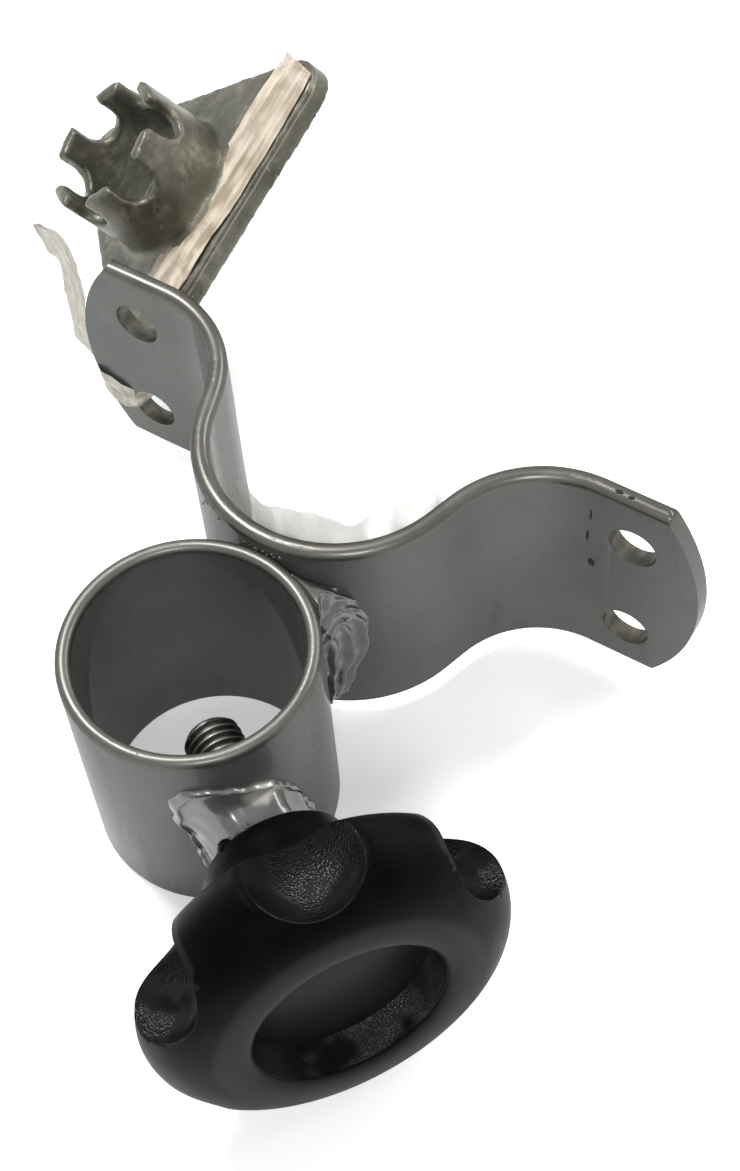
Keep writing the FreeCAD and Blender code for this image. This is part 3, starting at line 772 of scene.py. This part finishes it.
def films(material, soft, strip):
    """The strips over the plate, past the left wing, through its lower hole, in the saddle."""
    top = [((-16.4, 38.3), (-4.2, 45.0)), ((-13.4, 34.2), (0.2, 41.2)),
           ((-4.6, 22.0), (10.0, 29.5)), ((4.4, 10.2), (19.2, 18.0)),
           ((11.0, 2.6), (24.4, 10.3)), ((16.8, -4.4), (29.4, 4.1)),
           ((22.0, -9.8), (32.8, -1.8))]
    rows = [(cast_point(a[0], a[1], 0.25), cast_point(b[0], b[1], 0.25)) for a, b in top]
    film("film_over_plate", rows, 0.6, 1.3, material, CAST_OUT)
    tail = [((-88.5, 18.0, 25.2), (-86.4, 18.0, 26.6)),
            ((-86.6, 18.2, 18.6), (-81.4, 18.2, 25.6)),
            ((-84.4, 18.4, 15.0), (-79.8, 18.4, 19.8)),
            ((-84.6, 18.4, 3.4), (-79.2, 18.4, 7.2)),
            ((-84.8, 18.2, -6.6), (-79.6, 18.2, -0.4)),
            ((-84.6, 17.9, -11.0), (-79.8, 17.9, -6.6)),
            ((-79.4, 17.2, -13.4), (-76.8, 17.2, -8.6)),
            ((-73.2, 16.9, -13.4), (-71.8, 16.9, -7.6))]
    film("film_tail", tail, 0.8, 4.1, strip,
         Vector((0.0, -1.0, 0.0)))
    front = [((-74.9, 13.6, -8.0), (-74.2, 13.6, -12.8)),
             ((-72.6, 11.6, -8.8), (-72.2, 11.6, -15.2)),
             ((-69.6, 11.7, -10.0), (-69.6, 11.7, -18.2)),
             ((-66.8, 11.9, -11.0), (-67.0, 11.9, -18.8)),
             ((-64.6, 12.6, -12.2), (-64.6, 12.6, -18.2)),
             ((-63.4, 14.6, -12.8), (-63.4, 14.6, -17.4)),
             ((-62.6, 16.8, -13.0), (-62.6, 16.8, -17.0))]
    film("film_through_hole", front, 0.5, 7.7, strip,
         Vector((0.0, -1.0, 0.0)))
    curtain = []
    top_r = 23.6
    foot_r = 24.6
    foot_z = -4.0
    for deg, high in ((-121, 26.6), (-115, 30.8), (-109, 33.2), (-103, 31.0), (-96, 29.4),
                      (-86, 31.6), (-76, 32.6), (-64, 31.4), (-53, 28.8), (-44, 30.6),
                      (-34, 32.4), (-26, 31.0), (-18, 29.8), (-9, 27.2), (-1, 24.0)):
        a = math.radians(deg)
        curtain.append(((top_r * math.cos(a), top_r * math.sin(a), high),
                        (foot_r * math.cos(a), foot_r * math.sin(a), foot_z)))
    # The strip in the saddle takes the whiter copy of the film, lightened as painted light.
    film("film_in_saddle", curtain, 1.1, 2.2, soft,
         Vector((-0.3, 0.9, 0.0)), cols=16, fine=5)


def merged(name):
    """A welded copy of a CAD solid's triangles."""
    bm = bmesh.new()
    bm.from_mesh(nodes[name].data)
    bmesh.ops.remove_doubles(bm, verts=bm.verts, dist=2e-6)
    bmesh.ops.dissolve_degenerate(bm, edges=bm.edges, dist=1e-7)
    return bm


def smooth_shell(name, body, material, angle=32, even=False):
    """The solid's own shape with flowing shading, in place of its loose triangles."""
    bm = merged(name)
    mesh = bpy.data.meshes.new(name + "_welded")
    bm.to_mesh(mesh)
    bm.free()
    mesh.materials.append(material)
    for p in mesh.polygons:
        p.use_smooth = True
    mesh.set_sharp_from_angle(angle=math.radians(angle))
    source = bpy.data.objects.new(name + "_source", mesh)
    scene.collection.objects.link(source)
    if even:
        weigh = source.modifiers.new("even", "WEIGHTED_NORMAL")
        weigh.keep_sharp = True
        weigh.weight = 90
    depsgraph = bpy.context.evaluated_depsgraph_get()
    made = bpy.data.meshes.new_from_object(source.evaluated_get(depsgraph), depsgraph=depsgraph)
    bpy.data.objects.remove(source)
    made.name = name + "_shell"
    obj = bpy.data.objects.new(name + "_shell", made)
    scene.collection.objects.link(obj)
    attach(obj, body)
    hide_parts(name)


def cast_skin(material):
    """The casting as it leaves a sand mould: every edge softened and the skin slightly uneven."""
    bm = merged("cast_socket")
    mesh = bpy.data.meshes.new("cast_source")
    bm.to_mesh(mesh)
    bm.free()
    source = bpy.data.objects.new("cast_source", mesh)
    scene.collection.objects.link(source)
    grid = source.modifiers.new("grid", "REMESH")
    grid.mode = "VOXEL"
    grid.voxel_size = VOXEL * MM
    depsgraph = bpy.context.evaluated_depsgraph_get()
    made = bpy.data.meshes.new_from_object(source.evaluated_get(depsgraph), depsgraph=depsgraph)
    bpy.data.objects.remove(source)
    bm = bmesh.new()
    bm.from_mesh(made)
    for _ in range(SMOOTHINGS):
        bmesh.ops.smooth_vert(bm, verts=bm.verts, factor=0.5,
                              use_axis_x=True, use_axis_y=True, use_axis_z=True)
    bm.normal_update()
    for v in bm.verts:
        at = v.co / MM
        v.co += v.normal * (0.16 * lump(at, 5.0, 3.0) + 0.06 * lump(at, 1.6, 8.0)) * MM
    bm.to_mesh(made)
    bm.free()
    made.name = "cast_skin"
    made.materials.clear()
    made.materials.append(material)
    for p in made.polygons:
        p.use_smooth = True
    obj = bpy.data.objects.new("cast_skin", made)
    scene.collection.objects.link(obj)
    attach(obj, "bracket")
    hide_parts("cast_socket")


def hub_nib(material):
    """The moulding nib that stands on the edge of the knob's hub."""
    rings = []
    sides = 16
    c = math.cos(NIB_ANGLE)
    s = math.sin(NIB_ANGLE)
    for wide, deep, out in ((1.9, 1.4, 36.6), (1.9, 1.5, 35.4), (1.6, 1.3, 34.4),
                            (1.1, 0.9, 33.8), (0.4, 0.3, 33.5)):
        ring = []
        for i in range(sides):
            a = 2 * math.pi * i / sides
            side = NIB_AT * c - wide * math.cos(a) * s + deep * math.sin(a) * c
            up = NIB_AT * s + wide * math.cos(a) * c + deep * math.sin(a) * s
            ring.append(screw_point(side, up, out))
        rings.append(ring)
    verts, faces = skin(rings)
    obj = to_piece("hub_nib", verts, faces, material)
    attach(obj, "knob")


def finish_node(name, material):
    """A finish on the CAD solid's own node, whose mesh stays as it is."""
    obj = nodes[name]
    obj.data.materials.clear()
    obj.data.materials.append(material)


def backdrop():
    """Pale floor just under the collar's foot, white where the camera sees it."""
    mesh = bpy.data.meshes.new("floor")
    s = 3.0
    under = 0.05
    z = (COLLAR_FOOT - under) * MM
    mesh.from_pydata([(-s, -s, z), (s, -s, z), (s, s, z), (-s, s, z)], [], [(0, 1, 2, 3)])
    obj = bpy.data.objects.new("floor", mesh)
    scene.collection.objects.link(obj)
    m = bpy.data.materials.new("pale_floor")
    m.use_nodes = True
    b = m.node_tree.nodes["Principled BSDF"]
    b.inputs["Base Color"].default_value = (0.93, 0.93, 0.93, 1.0)
    b.inputs["Roughness"].default_value = 0.9
    b.inputs["Emission Color"].default_value = (1.0, 1.0, 1.0, 1.0)
    join(m.node_tree, seen_rays(m.node_tree) * 0.45, b.inputs["Emission Strength"])
    mesh.materials.append(m)


def seen_rays(tree):
    """One for rays from the camera, straight or by reflection or through glass, else zero."""
    rays = tree.nodes.new("ShaderNodeLightPath")
    seen = Val(tree, rays.outputs["Is Camera Ray"])
    seen = seen.top(Val(tree, rays.outputs["Is Glossy Ray"]))
    return seen.top(Val(tree, rays.outputs["Is Transmission Ray"]))


def lamp(name, place, size, watts):
    """A rectangular lamp that points at the part, with its place and size in metres."""
    data = bpy.data.lights.new(name, "AREA")
    data.shape = "RECTANGLE"
    data.size, data.size_y = size
    data.energy = watts
    obj = bpy.data.objects.new(name, data)
    scene.collection.objects.link(obj)
    obj.location = place
    obj.rotation_euler = Vector(place).to_track_quat("Z", "Y").to_euler()


def studio():
    """White surroundings, dimmer for light than for what is seen, and three lamps."""
    world = bpy.data.worlds.new("studio")
    scene.world = world
    world.use_nodes = True
    back = world.node_tree.nodes["Background"]
    back.inputs[0].default_value = (1.0, 1.0, 1.0, 1.0)
    join(world.node_tree, seen_rays(world.node_tree) * 0.74 + 0.26, back.inputs[1])
    lamp("key", (-0.40, 0.10, 0.85), (0.30, 0.30), 9.0)
    lamp("rim", (0.35, 0.75, 0.55), (0.7, 0.2), 4.0)
    lamp("fill", (0.45, -0.55, 0.80), (0.25, 0.25), 4.0)


def camera():
    """The camera that the photo was solved for."""
    data = bpy.data.cameras.new("photo_camera")
    data.sensor_width = 36.0
    data.lens = 66.42
    data.shift_x = -6.68 / PHOTO_HIGH
    data.shift_y = 13.45 / PHOTO_HIGH
    data.clip_start = 0.01
    obj = bpy.data.objects.new("photo_camera", data)
    scene.collection.objects.link(obj)
    right = Vector((0.857367, 0.512723, -0.04514)).normalized()
    back = Vector((0.309391, -0.443291, 0.841291)).normalized()
    up = back.cross(right).normalized()
    right = up.cross(back)
    turn = Matrix((right, up, back)).transposed()
    obj.matrix_world = Matrix.Translation((0.152773, -0.210763, 0.370855)) @ turn.to_4x4()
    scene.camera = obj


paint = silver_paint("silver_paint", COLLAR_TOP, 0.55)

# Each chip in the paint: its place, its size and how it is squeezed along x, y and z.
CHIPS = (
    ((50.2, WING_FRONT, 19.2), 1.4, (4.2, 1.0, 0.5)),
    ((49.7, WING_FRONT, 11.6), 1.2, (2.8, 1.0, 0.6)),
    ((50.9, WING_FRONT, 2.6), 1.6, (1.6, 1.0, 0.8)),
    ((-44.4, WING_FRONT, 18.8), 1.0, (1.6, 1.0, 0.9)),
    ((-44.0, WING_FRONT, 16.1), 0.9, (1.6, 1.0, 1.0)),
    ((55.3, 13.9, STRAP_TOP), 1.0, (0.8, 1.4, 1.2)),
    ((57.9, 13.7, STRAP_TOP), 0.8, (0.9, 1.4, 1.2)),
    ((33.1, 1.0, STRAP_TOP), 0.9, (1.0, 1.3, 1.2)))
strap_paint = silver_paint("silver_paint_chipped", STRAP_TOP, 0.85, chips=CHIPS, holes=HOLES)
weld = painted_weld("painted_weld")
steel = oiled_thread("oiled_thread")
casting = as_cast("as_cast_metal")
plastic = knob_plastic("knob_black")
cap_black = cap_plastic("cap_black")
milky = packing_film("packing_film", (0.40, 0.330, 0.240), (0.70, 0.62, 0.51), 0.88)
# A whiter, clearer copy of the film for the strip in the saddle: whiter as painted light, since
# that strip hangs in the rim's shade.
lit_soft_film = packing_film("packing_film_soft_lit", (0.88, 0.85, 0.77), (0.95, 0.94, 0.90),
                         0.44, 0.30, 0.35)
pale_strip = packing_film("packing_film_strip", (0.40, 0.37, 0.29), (0.64, 0.60, 0.51),
                          0.90, 0.08, 0.6)

for part, look in (("collar_tube", paint), ("saddle_strap", strap_paint),
                   ("collar_weld_right", weld), ("collar_weld_left", weld),
                   ("clamp_nut", weld), ("nut_weld", weld), ("clamp_screw", steel),
                   ("knob_head", plastic), ("knob_cap", cap_black), ("cast_socket", casting)):
    finish_node(part, look)

smooth_shell("collar_tube", "bracket", paint)
smooth_shell("saddle_strap", "bracket", strap_paint, even=True)
smooth_shell("knob_head", "knob", plastic)
smooth_shell("knob_cap", "cap", cap_black)
cast_skin(casting)
hub_nib(plastic)
clamp_screw(steel)
groove_weld("weld_right_ridges", 1.0,
            ((-26, 25.0), (-22, 28.0), (-14, 33.0), (-3, 40.0),
             (5, 41.0), (12, 37.0), (17, 30.0), (20, 22.0)),
            ((-26, 25.0), (-22, 28.0), (-14, 31.0), (-3, 35.0),
             (12, 36.0), (18, 30.0), (20, 26.0)),
            -26.0, 20.0, 3.0, weld, "collar_weld_right")
groove_weld("weld_left_ridges", -1.0,
            ((-25, 17.0), (-15, 22.0), (0, 25.0), (12, 24.0), (15, 18.0)),
            ((-25, 18.0), (-15, 22.0), (0, 26.0), (12, 25.0), (15, 20.0)),
            -25.0, 15.0, 6.0, weld, "collar_weld_left")
# The weld paint in a lighter tone, lightened as painted light on the nut, with a painted highlight
# near its flat top.
nut_paint_lit = painted_weld("nut_paint_lit", (0.155, 0.161, 0.150), 0.40, 0.24, (21.0, -68.0, 9.0))
nut_blob(nut_paint_lit)

burnt = painted_weld("burnt_weld", (0.050, 0.050, 0.046), 0.5, 0.12)
bead_tree, bead_sockets = spatter_tree()
seam = saddle_patch(29.95, -98, -79, (24.4, 25.6))
spatter("spatter_seam", seam, 1.0, 0.55, 5, burnt, bead_tree, bead_sockets)
stray = saddle_patch(SADDLE_R, -126, -105, (22.0, 27.4))
spatter("spatter_stray", stray, 0.12, 0.42, 9, burnt, bead_tree, bead_sockets)
ring = [[around_screw(r, math.radians(a), d) for a in range(96, 171, 5)]
        for r, d in ((10.2, 31.2), (8.8, 33.35))]
spatter("spatter_nut", ring, 0.55, 0.75, 2, nut_paint_lit, bead_tree, bead_sockets)

films(milky, lit_soft_film, pale_strip)
backdrop()
studio()
camera()
scene.view_settings.view_transform = "Standard"
